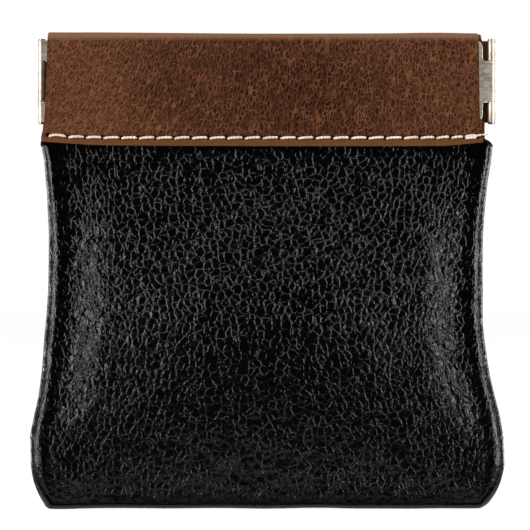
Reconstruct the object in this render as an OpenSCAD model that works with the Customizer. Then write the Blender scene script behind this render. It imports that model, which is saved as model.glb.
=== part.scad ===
// Squeeze coin purse. Two leather panels are sewn together round the sides and foot and
// turned, a leather band is folded over each spring strip at the mouth, and the two strips
// are hinged together at both ends. Squeezing the hinges together bows the mouth open.
// Millimetres, +Z up, front to -Y, origin at the middle of the foot.

/* [Purse] */
// Height from the foot to the top of the folded bands
purse_h = 88; // [70:0.5:120]
// Thickness through the belly
belly_t = 12.4; // [9:0.1:20]

/* [Spring frame] */
// Width over the hinge knuckles
frame_w = 85; // [64:0.5:120]
// Height of the spring strips
strip_h = 15.2; // [12:0.1:20]
// Thickness of the spring steel
strip_t = 0.38; // [0.3:0.01:0.5]
// Outer radius of the hinge knuckles
knuckle_r = 0.8; // [0.7:0.01:1.2]
// Height of the middle knuckle
mid_knuckle_h = 7.5; // [5:0.1:9]
// Length of bare strip between the knuckle and the full-height blade
tab_reach = 1.7; // [1.4:0.1:3]
// Fillet in the corners of the knuckle notches
notch_fillet = 0.6; // [0.2:0.1:0.8]
// Thickness of the pins' upset heads
pin_head_t = 0.2; // [0.1:0.05:0.4]

/* [Bands] */
// How far the bands reach below the spring strips
skirt_h = 4.1; // [3.6:0.1:7]
// Bare strip left outside each end of a band
band_short = 2.65; // [2:0.05:4]
// Thickness of the bands' inner leather
band_inner_t = 0.8; // [0.6:0.05:1.2]
// Thickness of the bands' outer leather
band_outer_t = 1.0; // [0.7:0.05:1.4]

/* [Panels] */
// Thickness of the panel leather
panel_t = 1.0; // [0.7:0.05:1.4]
// How far the panels stand out past the bands' ends at the top corners
ear_out = 1.65; // [0.5:0.05:3]
// How far the waist draws in from the top corners, each side
waist_in = 1.5; // [0:0.1:4]
// How far the hips stand out past the waist, each side
hip_out = 3.7; // [0:0.1:6]
// How far the foot's corners draw in from the hips, each side
foot_in = 3.5; // [1:0.1:8]
// Height of the hips
hip_z = 11; // [8:0.5:18]
// Height of the narrowest part of the waist
waist_z = 34; // [26:0.5:42]
// Height where the sides start to widen to the top corners
neck_z = 56; // [46:0.5:58]
// Height up to which the belly is at its thickest
belly_z = 22; // [16:0.5:34]
// Width of the rising shoulder round the belly
shoulder = 13; // [9:0.5:16]
// Width of the leather turned in at the seam
allowance = 3.5; // [2.5:0.1:5]
// How far the panels reach up between the band's two layers
tuck = 2.9; // [2:0.1:3.5]

/* [Thread] */
// Length from one needle hole to the next
stitch_pitch = 3.3; // [2.5:0.1:4.5]
// Thickness of the thread
thread_d = 0.5; // [0.3:0.05:0.7]
// Height of the stitch row above the bands' lower edge
row_up = 1.35; // [1:0.05:2]

/* [Clearances] */
// Radial running clearance of the pins
pin_clear = 0.06; // [0.03:0.01:0.1]
// Gap between neighbouring knuckles
knuckle_gap = 0.1; // [0.05:0.01:0.2]
// Gap between the two halves of a strip, where it bends
flex_gap = 0.3; // [0.2:0.02:0.6]
// Gap on each face of what lies between a band's layers
slack = 0.06; // [0.03:0.01:0.1]
// Half of the gap between the two bands at the mouth
mouth_gap = 0.25; // [0.15:0.05:0.5]
// Half of the gap between the two panels at the seam
mate_gap = 0.1; // [0.05:0.05:0.2]
// Room over and under a strip inside its band
edge_room = 0.15; // [0.1:0.05:0.4]

/* [Hidden] */
$fn = 48;

// Hinge
pin_x = frame_w / 2 - knuckle_r;
bore_r = knuckle_r - strip_t;
pin_r = bore_r - pin_clear;
head_r = knuckle_r - 0.15;
notch_x = pin_x - tab_reach;
bend_x = pin_x - knuckle_r / 2;

// Layers, counted outwards from the mouth's middle plane
slot_y = mouth_gap + band_inner_t;
strip_y = slot_y + slack;
outer_y = strip_y + strip_t + slack;
tuck_y = slot_y + slack;
skirt_y = tuck_y + panel_t + slack;

// Heights
fold_r = (outer_y + band_outer_t - mouth_gap) / 2;
fold_z = purse_h - fold_r;
strip_z = fold_z - edge_room - strip_h;
band_h = fold_r + edge_room + strip_h + skirt_h;
band_z = purse_h - band_h;
tuck_z = band_z + tuck;
ear_z = band_z - 0.5;
band_half = frame_w / 2 - band_short;
row_z = band_z + row_up;

// Bag outline, as half widths
ear_half = band_half + ear_out;
waist_half = ear_half - waist_in;
hip_half = waist_half + hip_out;
foot_half = hip_half - foot_in;
tuck_half = band_half - 1.35;
corner_power = 2.2;
foot_cut = 0.35;
roll_r = panel_t;
belly_rise = belly_t / 2 - tuck_y - panel_t;

// Stitches
stitch_count = floor(2 * band_half / stitch_pitch);
stitch_gap = 0.5;
leg_depth = 0.5;
seam_in = 1.9;

// Grid lines of a panel: distances in from its edge, then shares of the way to the middle
edge_steps = [0, 0.12, 0.35, 0.7, 1.2, 2.2, allowance - 0.1, allowance];
middle_shares = [0.95, 0.88, 0.8, 0.71, 0.6, 0.48, 0.34, 0.18];
foot_steps = [0, 0.15, 0.4, 0.8, 1.3, 2.2, allowance - foot_cut - 0.1, allowance - foot_cut];
height_shares = [0.035, 0.075, 0.12, 0.17, 0.23, 0.3, 0.38, 0.46, 0.54, 0.62, 0.7, 0.78, 0.85, 0.91, 0.96, 1];

// Smooth step from 0 to 1
function ease(t) = let (k = min(1, max(0, t))) k * k * (3 - 2 * k);

// Half width of the bag at a height
function half_w(z) =
    z < hip_z ? hip_half - foot_in * pow((hip_z - z) / hip_z, corner_power)
    : z < waist_z ? hip_half - hip_out * ease((z - hip_z) / (waist_z - hip_z))
    : waist_half + waist_in * ease((z - neck_z) / (ear_z - neck_z));

// Distance in from the bag's edge, rounded in the foot's corners
function edge_distance(x, z) =
    let (side = half_w(z) - abs(x), foot = z + foot_cut)
    side <= 0.001 ? 0 : pow(pow(side, -4) + pow(foot, -4), -1 / 4);

// Share of the full turn that the rolled edge has made
function roll(d) = max(0.05, d >= roll_r ? 1 : sqrt(1 - pow(1 - d / roll_r, 2)));

// The panel's outer and inner faces, as distances from the middle plane
function wall_y(d, z) = tuck_y + panel_t * roll(d)
    + belly_rise * ease((d - roll_r) / shoulder) * (1 - ease((z - belly_z) / (ear_z - belly_z)));
function lining_y(d, z) = d < allowance
    ? tuck_y - (tuck_y - mate_gap) * roll(d)
    : wall_y(d, z) - panel_t;

// Grid of a panel: the x places at a height, and the heights
function right_half(z) = let (w = half_w(z)) concat(
    [for (s = [len(middle_shares) - 1 : -1 : 0]) (w - allowance) * middle_shares[s]],
    [for (k = [len(edge_steps) - 1 : -1 : 0]) w - edge_steps[k]]);
function mirrored(half) = concat([for (k = [len(half) - 1 : -1 : 0]) -half[k]], [0], half);
function row_xs(z) = mirrored(right_half(z));
heights = concat(foot_steps, [for (s = height_shares)
    foot_steps[len(foot_steps) - 1] + s * (ear_z - foot_steps[len(foot_steps) - 1])]);
tuck_heights = [ear_z + 0.15, tuck_z];
columns = len(row_xs(0));
rows = len(heights) + len(tuck_heights);

// A bag row follows the faces; a tuck row is a flat plate between the band's layers
function bag_points(outside) = [for (z = heights) for (x = row_xs(z))
    let (d = edge_distance(x, z)) [x, -(outside ? wall_y(d, z) : lining_y(d, z)), z]];
function tuck_points(outside) = [for (z = tuck_heights) for (x = row_xs(ear_z))
    [x * tuck_half / ear_half, -(outside ? tuck_y + panel_t : tuck_y), z]];

// Faces, with the inner grid's points after the outer grid's
function outer_at(j, i) = j * columns + i;
function inner_at(j, i) = rows * columns + j * columns + i;
function quad(a, b, c, d) = [[a, b, c], [a, c, d]];
panel_faces = [
    for (j = [0 : rows - 2]) for (i = [0 : columns - 2]) each quad(
        outer_at(j, i), outer_at(j + 1, i), outer_at(j + 1, i + 1), outer_at(j, i + 1)),
    for (j = [0 : rows - 2]) for (i = [0 : columns - 2]) each quad(
        inner_at(j, i), inner_at(j, i + 1), inner_at(j + 1, i + 1), inner_at(j + 1, i)),
    for (j = [0 : rows - 2]) each quad(
        inner_at(j, 0), inner_at(j + 1, 0), outer_at(j + 1, 0), outer_at(j, 0)),
    for (j = [0 : rows - 2]) each quad(
        outer_at(j, columns - 1), outer_at(j + 1, columns - 1),
        inner_at(j + 1, columns - 1), inner_at(j, columns - 1)),
    for (i = [0 : columns - 2]) each quad(
        outer_at(rows - 1, i), inner_at(rows - 1, i),
        inner_at(rows - 1, i + 1), outer_at(rows - 1, i + 1)),
    for (i = [0 : columns - 2]) each quad(
        outer_at(0, i), outer_at(0, i + 1), inner_at(0, i + 1), inner_at(0, i))];

// Turns a front piece into the rear one
module to_rear() { mirror([0, 1, 0]) children(); }

// One leather panel, with its edges turned in and its top tucked into the band
module panel() {
    polyhedron(
        points = concat(bag_points(true), tuck_points(true), bag_points(false), tuck_points(false)),
        faces = panel_faces);
}

// Cross-section of a band, folded over its strip and widened below it for the panel
module band_section() {
    translate([mouth_gap, band_z]) square([band_inner_t, fold_z - band_z]);
    polygon([
        [outer_y, fold_z], [outer_y, strip_z - edge_room], [skirt_y, tuck_z + edge_room],
        [skirt_y, band_z], [skirt_y + band_outer_t, band_z],
        [skirt_y + band_outer_t, tuck_z + edge_room],
        [outer_y + band_outer_t, strip_z - edge_room], [outer_y + band_outer_t, fold_z]]);
    difference() {
        translate([mouth_gap + fold_r, fold_z]) circle(fold_r);
        translate([(slot_y + outer_y) / 2, fold_z]) circle((outer_y - slot_y) / 2);
        translate([0, fold_z - 2 * fold_r]) square([2 * skirt_y, 2 * fold_r]);
    }
}

module band() {
    mirror([0, 1, 0]) rotate([90, 0, 90])
        linear_extrude(2 * band_half, center = true) band_section();
}

// One stitch lying on a leather face, with its two legs in the needle holes
module stitch(face_y, outwards) {
    bar = stitch_pitch - stitch_gap - thread_d;
    translate([0, -face_y, row_z]) rotate([90 * outwards, 0, 0]) {
        linear_extrude(thread_d / 2) {
            square([bar, thread_d], center = true);
            for (side = [-1, 1]) translate([side * bar / 2, 0]) circle(thread_d / 2);
        }
        for (side = [-1, 1]) translate([side * bar / 2, 0, -leg_depth])
            cylinder(r = thread_d / 2, h = leg_depth + thread_d / 4);
    }
}

// The stitch row of a band, on its outer face and on its inner one
module stitching() {
    for (k = [0 : stitch_count - 1]) translate([(k - (stitch_count - 1) / 2) * stitch_pitch, 0, 0]) {
        stitch(skirt_y + band_outer_t, 1);
        stitch(mouth_gap, -1);
    }
}

// Strip seen from above: a flat blade, a slanted tab and a curled knuckle
module strip_plan() {
    translate([flex_gap / 2, -strip_y - strip_t]) square([notch_x - flex_gap / 2, strip_t]);
    polygon([
        [notch_x, -strip_y], [notch_x, -strip_y - strip_t], [bend_x, -knuckle_r],
        [pin_x, -knuckle_r], [pin_x, -bore_r], [bend_x, -bore_r]]);
    translate([pin_x, 0]) difference() {
        circle(knuckle_r);
        circle(bore_r);
    }
}

// Rounds the inner corner between a knuckle's tab and the blade's end
module corner_fillet(up) {
    translate([notch_x, 0]) mirror([0, up ? 0 : 1]) difference() {
        square(notch_fillet);
        translate([notch_fillet, notch_fillet]) circle(notch_fillet);
    }
}

// Strip seen from the front: full-height blade, then the tabs that carry the knuckles
module strip_front(middle) {
    tab_end = pin_x + 2 * knuckle_r;
    mid_half = mid_knuckle_h / 2;
    end_h = strip_h / 2 - mid_half - knuckle_gap;
    translate([0, -strip_h / 2]) square([notch_x, strip_h]);
    if (middle) {
        translate([0, -mid_half]) square([tab_end, mid_knuckle_h]);
        for (side = [-1, 1]) translate([0, side * mid_half]) corner_fillet(side > 0);
    } else {
        for (side = [-1, 1]) {
            translate([0, side * (strip_h / 2 - end_h / 2) - end_h / 2]) square([tab_end, end_h]);
            translate([0, side * (strip_h / 2 - end_h)]) corner_fillet(side < 0);
        }
    }
}

// Half a spring strip, on the right of the front one
module half_strip(middle) {
    intersection() {
        translate([0, 0, strip_z]) linear_extrude(strip_h) strip_plan();
        translate([0, knuckle_r * 2, strip_z + strip_h / 2]) rotate([90, 0, 0])
            linear_extrude(knuckle_r * 6) strip_front(middle);
    }
}

// Hinge pin, upset at both ends
module pin() {
    head_gap = knuckle_gap / 2;
    translate([pin_x, 0, strip_z - head_gap - pin_head_t]) {
        cylinder(r = pin_r, h = strip_h + 2 * (head_gap + pin_head_t));
        cylinder(r = head_r, h = pin_head_t);
        translate([0, 0, strip_h + 2 * head_gap + pin_head_t]) cylinder(r = head_r, h = pin_head_t);
    }
}

module front_panel() { color("#1b1a1b") panel(); }
module rear_panel() { color("#1b1a1b") to_rear() panel(); }

// Needle crossings of the turned seam, down both sides and along the foot
module seam_thread() {
    foot_count = floor(foot_half / stitch_pitch) - 1;
    side_count = floor((ear_z - 2 * allowance) / stitch_pitch);
    color("#2a2829") {
        for (k = [-foot_count : foot_count]) seam_crossing(k * stitch_pitch, seam_in);
        for (k = [0 : side_count], side = [-1, 1]) {
            z = 2 * allowance + (k - 0.5) * stitch_pitch;
            seam_crossing(side * (half_w(z) - seam_in), z);
        }
    }
}

module seam_crossing(x, z) {
    translate([x, 0, z]) rotate([90, 0, 0])
        cylinder(r = thread_d / 2, h = 2 * (tuck_y + panel_t / 2), center = true);
}

module front_band() { color("#5e3f2e") band(); }
module rear_band() { color("#5e3f2e") to_rear() band(); }
module front_stitching() { color("#e8d3c0") stitching(); }
module rear_stitching() { color("#e8d3c0") to_rear() stitching(); }
module front_strip_right() { color("#b9b5a6") half_strip(true); }
module front_strip_left() { color("#b9b5a6") mirror([1, 0, 0]) half_strip(false); }
module rear_strip_right() { color("#a9a595") to_rear() half_strip(false); }
module rear_strip_left() { color("#a9a595") to_rear() mirror([1, 0, 0]) half_strip(true); }
module right_pin() { color("#d8d4c4") pin(); }
module left_pin() { color("#d8d4c4") mirror([1, 0, 0]) pin(); }

front_panel();
rear_panel();
seam_thread();
front_band();
rear_band();
front_stitching();
rear_stitching();
front_strip_left();
front_strip_right();
rear_strip_left();
rear_strip_right();
left_pin();
right_pin();
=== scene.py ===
"""A squeeze coin purse: the look of the leather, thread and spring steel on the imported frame.

Sizes in this file are in millimetres and are turned to metres where a mesh is made. +Z is up to the
mouth, the front faces -Y, and the origin is at the middle of the foot. "Outward" is the distance from
the purse's middle plane, towards -Y on the front and +Y on the rear.
"""

import logging
import math
from dataclasses import dataclass
from enum import Enum

import bmesh
import bpy
import numpy as np
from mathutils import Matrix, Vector


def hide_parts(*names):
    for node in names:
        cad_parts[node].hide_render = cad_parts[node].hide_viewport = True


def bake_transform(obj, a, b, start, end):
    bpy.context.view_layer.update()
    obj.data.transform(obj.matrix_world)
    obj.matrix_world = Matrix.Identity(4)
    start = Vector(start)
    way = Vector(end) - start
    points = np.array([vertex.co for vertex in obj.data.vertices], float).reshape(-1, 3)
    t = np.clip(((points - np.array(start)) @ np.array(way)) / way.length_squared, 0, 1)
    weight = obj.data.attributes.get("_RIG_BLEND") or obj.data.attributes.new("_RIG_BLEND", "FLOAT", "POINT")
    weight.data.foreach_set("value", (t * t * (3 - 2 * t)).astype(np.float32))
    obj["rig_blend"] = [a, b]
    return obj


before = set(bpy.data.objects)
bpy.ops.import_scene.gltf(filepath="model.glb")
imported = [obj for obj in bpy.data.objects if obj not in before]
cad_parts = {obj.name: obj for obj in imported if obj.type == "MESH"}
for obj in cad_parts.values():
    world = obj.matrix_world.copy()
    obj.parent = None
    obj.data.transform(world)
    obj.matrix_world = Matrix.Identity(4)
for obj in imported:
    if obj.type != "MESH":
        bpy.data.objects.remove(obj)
log = logging.getLogger("coin_purse")

MM = 0.001
Node = bpy.types.Node
Socket = bpy.types.NodeSocket
Points = np.ndarray
Inputs = dict | tuple | list


class Face(Enum):
    """The two faces of the purse, each with the sign of Y on it."""

    FRONT = -1.0
    REAR = 1.0

    @property
    def word(self) -> str:
        """The word that the face's nodes and bodies start with."""
        return self.name.lower()


class KnuckleEnd(Enum):
    """How a spring strip ends: in one middle knuckle or in an outer pair."""

    MIDDLE = "middle"
    PAIR = "pair"


def linear(hex_colour: str) -> tuple[float, float, float, float]:
    """Turns an sRGB hex colour into Blender's linear colour.

    Args:
        hex_colour: A colour such as "#5e3f2e".

    Returns:
        Red, green, blue and an alpha of 1.
    """
    shares = [int(hex_colour[k : k + 2], 16) / 255 for k in (1, 3, 5)]
    values = [s / 12.92 if s <= 0.04045 else ((s + 0.055) / 1.055) ** 2.4 for s in shares]
    return (values[0], values[1], values[2], 1.0)


def ease(t: Points) -> Points:
    """Smooth step from 0 to 1."""
    k = np.clip(t, 0.0, 1.0)
    return k * k * (3.0 - 2.0 * k)


def bump_at(x: Points, centre: float, width: float) -> Points:
    """A smooth hump of height 1 and the given half width round a place."""
    return np.exp(-(((x - centre) / width) ** 2))


class SoftNoise:
    """A smooth random field on a plane, the same for the same seed."""

    size = 97
    start = 40.0

    def __init__(self, seed: int, step: float) -> None:
        """Draws the field's lattice from a seed, its points a step in mm apart."""
        self.lattice = np.random.default_rng(seed).uniform(-1.0, 1.0, (self.size, self.size))
        self.step = step

    def __call__(self, u: Points, v: Points) -> Points:
        """Reads the field.

        Args:
            u: First coordinates, in mm.
            v: Second coordinates, in mm.

        Returns:
            The field at each place, from -1 to 1.
        """
        gu, gv = np.broadcast_arrays(u / self.step + self.start, v / self.step + self.start)
        iu, iv = np.floor(gu).astype(int), np.floor(gv).astype(int)
        fu, fv = ease(gu - iu), ease(gv - iv)
        low, high = [
            self.lattice[(iu + a) % self.size, iv % self.size] * (1 - fv)
            + self.lattice[(iu + a) % self.size, (iv + 1) % self.size] * fv
            for a in (0, 1)
        ]
        return low * (1 - fu) + high * fu


class SmoothLine:
    """A curve through a few measured places that doesn't overshoot them."""

    def __init__(self, *places: tuple[float, float]) -> None:
        """Works out the slope at each place.

        Args:
            places: Pairs of a position and the value there, in rising order of position.
        """
        self.x, self.y = np.array(places, dtype=float).T
        step = np.diff(self.y) / np.diff(self.x)
        product, both = step[:-1] * step[1:], step[:-1] + step[1:] + 1e-12
        inner = np.where(product > 0, 2 * product / both, 0)
        self.slope = np.concatenate([[step[0]], inner, [step[-1]]])

    def __call__(self, at: Points) -> Points:
        """Reads the curve.

        Args:
            at: Positions; beyond the ends the curve stays level.

        Returns:
            The curve's value at each position.
        """
        at = np.clip(at, self.x[0], self.x[-1])
        k = np.clip(np.searchsorted(self.x, at) - 1, 0, len(self.x) - 2)
        span = self.x[k + 1] - self.x[k]
        t = (at - self.x[k]) / span
        first = (1 - t) ** 2 * ((1 + 2 * t) * self.y[k] + t * span * self.slope[k])
        return first + t * t * ((3 - 2 * t) * self.y[k + 1] + (t - 1) * span * self.slope[k + 1])


def quads(grid: Points, flip: bool = False) -> list[tuple[int, ...]]:
    """Four-sided faces over a grid of point numbers, turned over if asked."""
    corners = np.stack([grid[:-1, :-1], grid[:-1, 1:], grid[1:, 1:], grid[1:, :-1]], axis=-1).reshape(-1, 4)
    return [tuple(q) for q in (corners[:, ::-1] if flip else corners).tolist()]


def rim(grid: Points) -> list[int]:
    """The point numbers round a grid's edge."""
    return np.concatenate([grid[0, :-1], grid[:-1, -1], grid[-1, :0:-1], grid[:0:-1, 0]]).tolist()


def lattice_shell(lattice: Points) -> tuple[Points, list, Points]:
    """The closed skin of a curved block of points.

    Args:
        lattice: Points by layer, station and column.

    Returns:
        The skin's points, its faces, and the layer, station and column of each point.
    """
    keep = np.zeros(lattice.shape[:3], dtype=bool)
    keep[[0, -1]] = keep[:, [0, -1]] = keep[:, :, [0, -1]] = True
    number = np.where(keep, np.cumsum(keep).reshape(keep.shape) - 1, -1)
    faces = quads(number[0], True) + quads(number[-1])
    faces += quads(number[:, 0]) + quads(number[:, -1], True)
    faces += quads(number[:, :, 0], True) + quads(number[:, :, -1])
    return lattice[keep], faces, np.argwhere(keep)


def run_lengths(line: Points) -> Points:
    """The length along a line up to each of its points."""
    return np.concatenate([[0.0], np.cumsum(np.linalg.norm(np.diff(line, axis=0), axis=1))])


def make_piece(
    name: str, points: Points, faces: list, finish: bpy.types.Material, flip: bool = False
) -> bpy.types.Object:
    """Makes a smooth-shaded object from points and faces.

    Args:
        name: The piece's name.
        points: Its points, in mm.
        faces: Its faces, as tuples of point numbers, turned outwards.
        finish: Its material.
        flip: Whether the faces are turned over, as for a mirrored piece.

    Returns:
        The object, at the origin and linked to the scene.
    """
    mesh = bpy.data.meshes.new(name)
    mesh.from_pydata((np.asarray(points) * MM).tolist(), [], [f[::-1] for f in faces] if flip else faces)
    mesh.validate()
    mesh.shade_smooth()
    mesh.materials.append(finish)
    piece = bpy.data.objects.new(name, mesh)
    bpy.context.scene.collection.objects.link(piece)
    return piece


def write_attribute(piece: bpy.types.Object, name: str, values: Points) -> None:
    """Stores a number or a vector on each point of a piece.

    Args:
        piece: The piece.
        name: The attribute's name, which the finishes read.
        values: One number, or one row of three, for each point.
    """
    kind, field = ("FLOAT_VECTOR", "vector") if values.ndim == 2 else ("FLOAT", "value")
    attribute = piece.data.attributes.new(name, kind, "POINT")
    attribute.data.foreach_set(field, np.ascontiguousarray(values, dtype=np.float32).ravel())


@dataclass(frozen=True)
class Graph:
    """A node tree of a material, a world or a geometry modifier."""

    tree: bpy.types.NodeTree

    def add(self, kind: str, inputs: Inputs, stops: tuple = (), **settings: str) -> Node:
        """Adds a node with its settings and links.

        Args:
            kind: The node's type name, without ShaderNode where it starts so.
            inputs: Its inputs, as wire takes them.
            stops: A colour ramp's two stops, each a place from 0 to 1 and a hex colour.
            settings: Its other properties.

        Returns:
            The node.
        """
        other = kind.startswith(("Geometry", "NodeGroup"))
        node = self.tree.nodes.new(kind if other else "ShaderNode" + kind)
        for key, value in settings.items():
            setattr(node, key, value)
        for k, (place, colour) in enumerate(stops):
            node.color_ramp.elements[k].position = place
            node.color_ramp.elements[k].color = linear(colour)
        return self.wire(node, inputs)

    def wire(self, node: Node, inputs: Inputs) -> Node:
        """Sets or links a node's inputs.

        Args:
            node: The node.
            inputs: Its inputs in order, or by name or number. Each is a value, a socket to link from, or a
                node, whose first output in use is then linked.

        Returns:
            The same node.
        """
        for key, value in inputs.items() if isinstance(inputs, dict) else enumerate(inputs):
            if isinstance(value, Node):
                value = next(socket for socket in value.outputs if socket.enabled)
            if isinstance(value, Socket):
                self.tree.links.new(value, node.inputs[key])
            else:
                node.inputs[key].default_value = value
        return node


@dataclass(frozen=True)
class PebbleGrain:
    """Pebbled cowhide's relief: nearly flat pebbles about 1.3 mm across with narrow creases between them."""

    pebble: float = 1.32
    crease: float = 0.15
    crease_depth: float = 0.064
    dome: float = 0.55
    dome_depth: float = 0.024
    wrinkle: float = 0.9
    wrinkle_crease: float = 0.2
    wrinkle_depth: float = 0.05
    lumps: float = 0.03
    crush: float = 0.26

    def height(self, graph: Graph, hide: Socket, grain: Socket, crumple: Socket) -> Node:
        """Adds the relief's nodes, the same ones to a material and to a geometry modifier.

        Args:
            graph: The tree to add them to.
            hide: Places on the flat hide, in mm.
            grain: How deep the pebbles are, from 0 to 1.
            crumple: How finely the leather is crumpled, from 0 to 1.

        Returns:
            The node that gives the height, in mm.
        """
        drift = graph.add("TexNoise", {"Vector": hide, "Scale": 0.55, "Detail": 2.0, "Roughness": 0.6})
        ruffle = graph.add("TexNoise", {"Vector": hide, "Scale": 2.6, "Detail": 2.0})
        moved = hide
        for noise, reach in ((drift, 1.2), (ruffle, 0.22)):
            shift = (noise.outputs["Color"], (reach, reach, 0.0), moved)
            moved = graph.add("VectorMath", shift, operation="MULTIPLY_ADD")
        patch = graph.add("TexNoise", {"Vector": hide, "Scale": 0.45, "Detail": 1.0})
        uneven = graph.add("MapRange", (patch, 0.3, 0.65, 0.45, 1.1))
        breaks = graph.add("TexNoise", {"Vector": hide, "Scale": 1.15, "Detail": 2.0})
        broken = graph.add("MapRange", (breaks, 0.38, 0.6, 0.6, 1.15))
        total = 0.0
        for size, width, depth, share in (
            (self.pebble, self.crease, self.crease_depth, broken),
            (self.pebble, self.dome, self.dome_depth, 1.0),
            (self.wrinkle, self.wrinkle_crease, self.wrinkle_depth, crumple),
        ):
            places = {"Vector": moved, "Scale": 1.0 / size, "Randomness": 0.95}
            cells = graph.add("TexVoronoi", places, feature="DISTANCE_TO_EDGE")
            slope = (cells, 0.0, width / size, 0.0, depth)
            part = graph.add("MapRange", slope, interpolation_type="SMOOTHSTEP")
            total = graph.add("Math", (part, share, total), operation="MULTIPLY_ADD")
        lump = graph.add("TexNoise", {"Vector": hide, "Scale": 1.5, "Detail": 1.5})
        crush = graph.add("TexNoise", {"Vector": moved, "Scale": 1.25, "Detail": 1.0})
        crushed = graph.add("Math", (crush, crumple), operation="MULTIPLY")
        for noise, depth in ((lump, self.lumps), (crushed, self.crush)):
            total = graph.add("Math", (noise, depth, total), operation="MULTIPLY_ADD")
        deep = graph.add("Math", (total, uneven), operation="MULTIPLY")
        return graph.add("Math", (deep, grain), operation="MULTIPLY")


def new_material(name: str) -> tuple[bpy.types.Material, Graph, Node]:
    """Makes a material with a Principled shader.

    Args:
        name: The material's name.

    Returns:
        The material, its graph and its shader node.
    """
    material = bpy.data.materials.new(name)
    material.use_nodes = True
    return material, Graph(material.node_tree), material.node_tree.nodes["Principled BSDF"]


@dataclass(frozen=True)
class PebbledCowhide:
    """Black top-grain cowhide, drum-pebbled and finished with a thin glossy topcoat.

    The pebbles' tops face the viewer and stay black, and their sides catch the lamps as a light net.
    """

    colour: str = "#020202"
    # Painted shade: the crease bottoms are coloured darker than the pebbles.
    crease_colour: str = "#010101"
    flesh_colour: str = "#2b2725"
    flesh_shade: str = "#171413"
    flesh_roughness: float = 0.85
    roughness: float = 0.13
    # Real hair pores are under 0.1 mm. They are drawn at 0.24, because a pixel here is 0.18 mm.
    pore: float = 0.24
    pore_depth: float = 0.032

    def material(self) -> bpy.types.Material:
        """Makes the hide's outer face and its flesh side.

        Returns:
            The finish of both bag panels.
        """
        material, graph, shader = new_material("black_pebbled_cowhide")
        hide = graph.add("Attribute", {}, attribute_name="hide").outputs["Vector"]
        grain, crumple, satin, flesh = [
            graph.add("Attribute", {}, attribute_name=name).outputs["Fac"]
            for name in ("grain", "crumple", "satin", "flesh")
        ]
        relief = PebbleGrain().height(graph, hide, grain, crumple)
        coarse = graph.add("Bump", {"Height": relief, "Strength": 1.0, "Distance": MM})
        pores = graph.add("TexNoise", {"Vector": hide, "Scale": 1.0 / self.pore, "Detail": 2.0})
        specks = graph.add("Math", (pores, satin), operation="MULTIPLY")
        depth = self.pore_depth * MM
        finest = graph.add("Bump", {"Height": specks, "Strength": 1.0, "Distance": depth, "Normal": coarse})
        # The lower relief, in the creases, takes the painted crease shade.
        shade = graph.add("MapRange", (relief, 0.03, 0.1))
        colour = graph.add("ValToRGB", (shade,), ((0.0, self.crease_colour), (0.7, self.colour)))
        nap = graph.add("ValToRGB", (pores,), ((0.3, self.flesh_shade), (0.7, self.flesh_colour)))
        colour = graph.add("Mix", {0: flesh, 6: colour, 7: nap}, data_type="RGBA")
        rough = graph.add("MapRange", (pores, 0.0, 1.0, self.roughness - 0.04, self.roughness + 0.06))
        rough = graph.add("Mix", {0: flesh, 2: rough, 3: self.flesh_roughness}, data_type="FLOAT")
        graph.wire(shader, {"Base Color": colour, "Roughness": rough, "Normal": finest, "IOR": 1.5})
        return material


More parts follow.
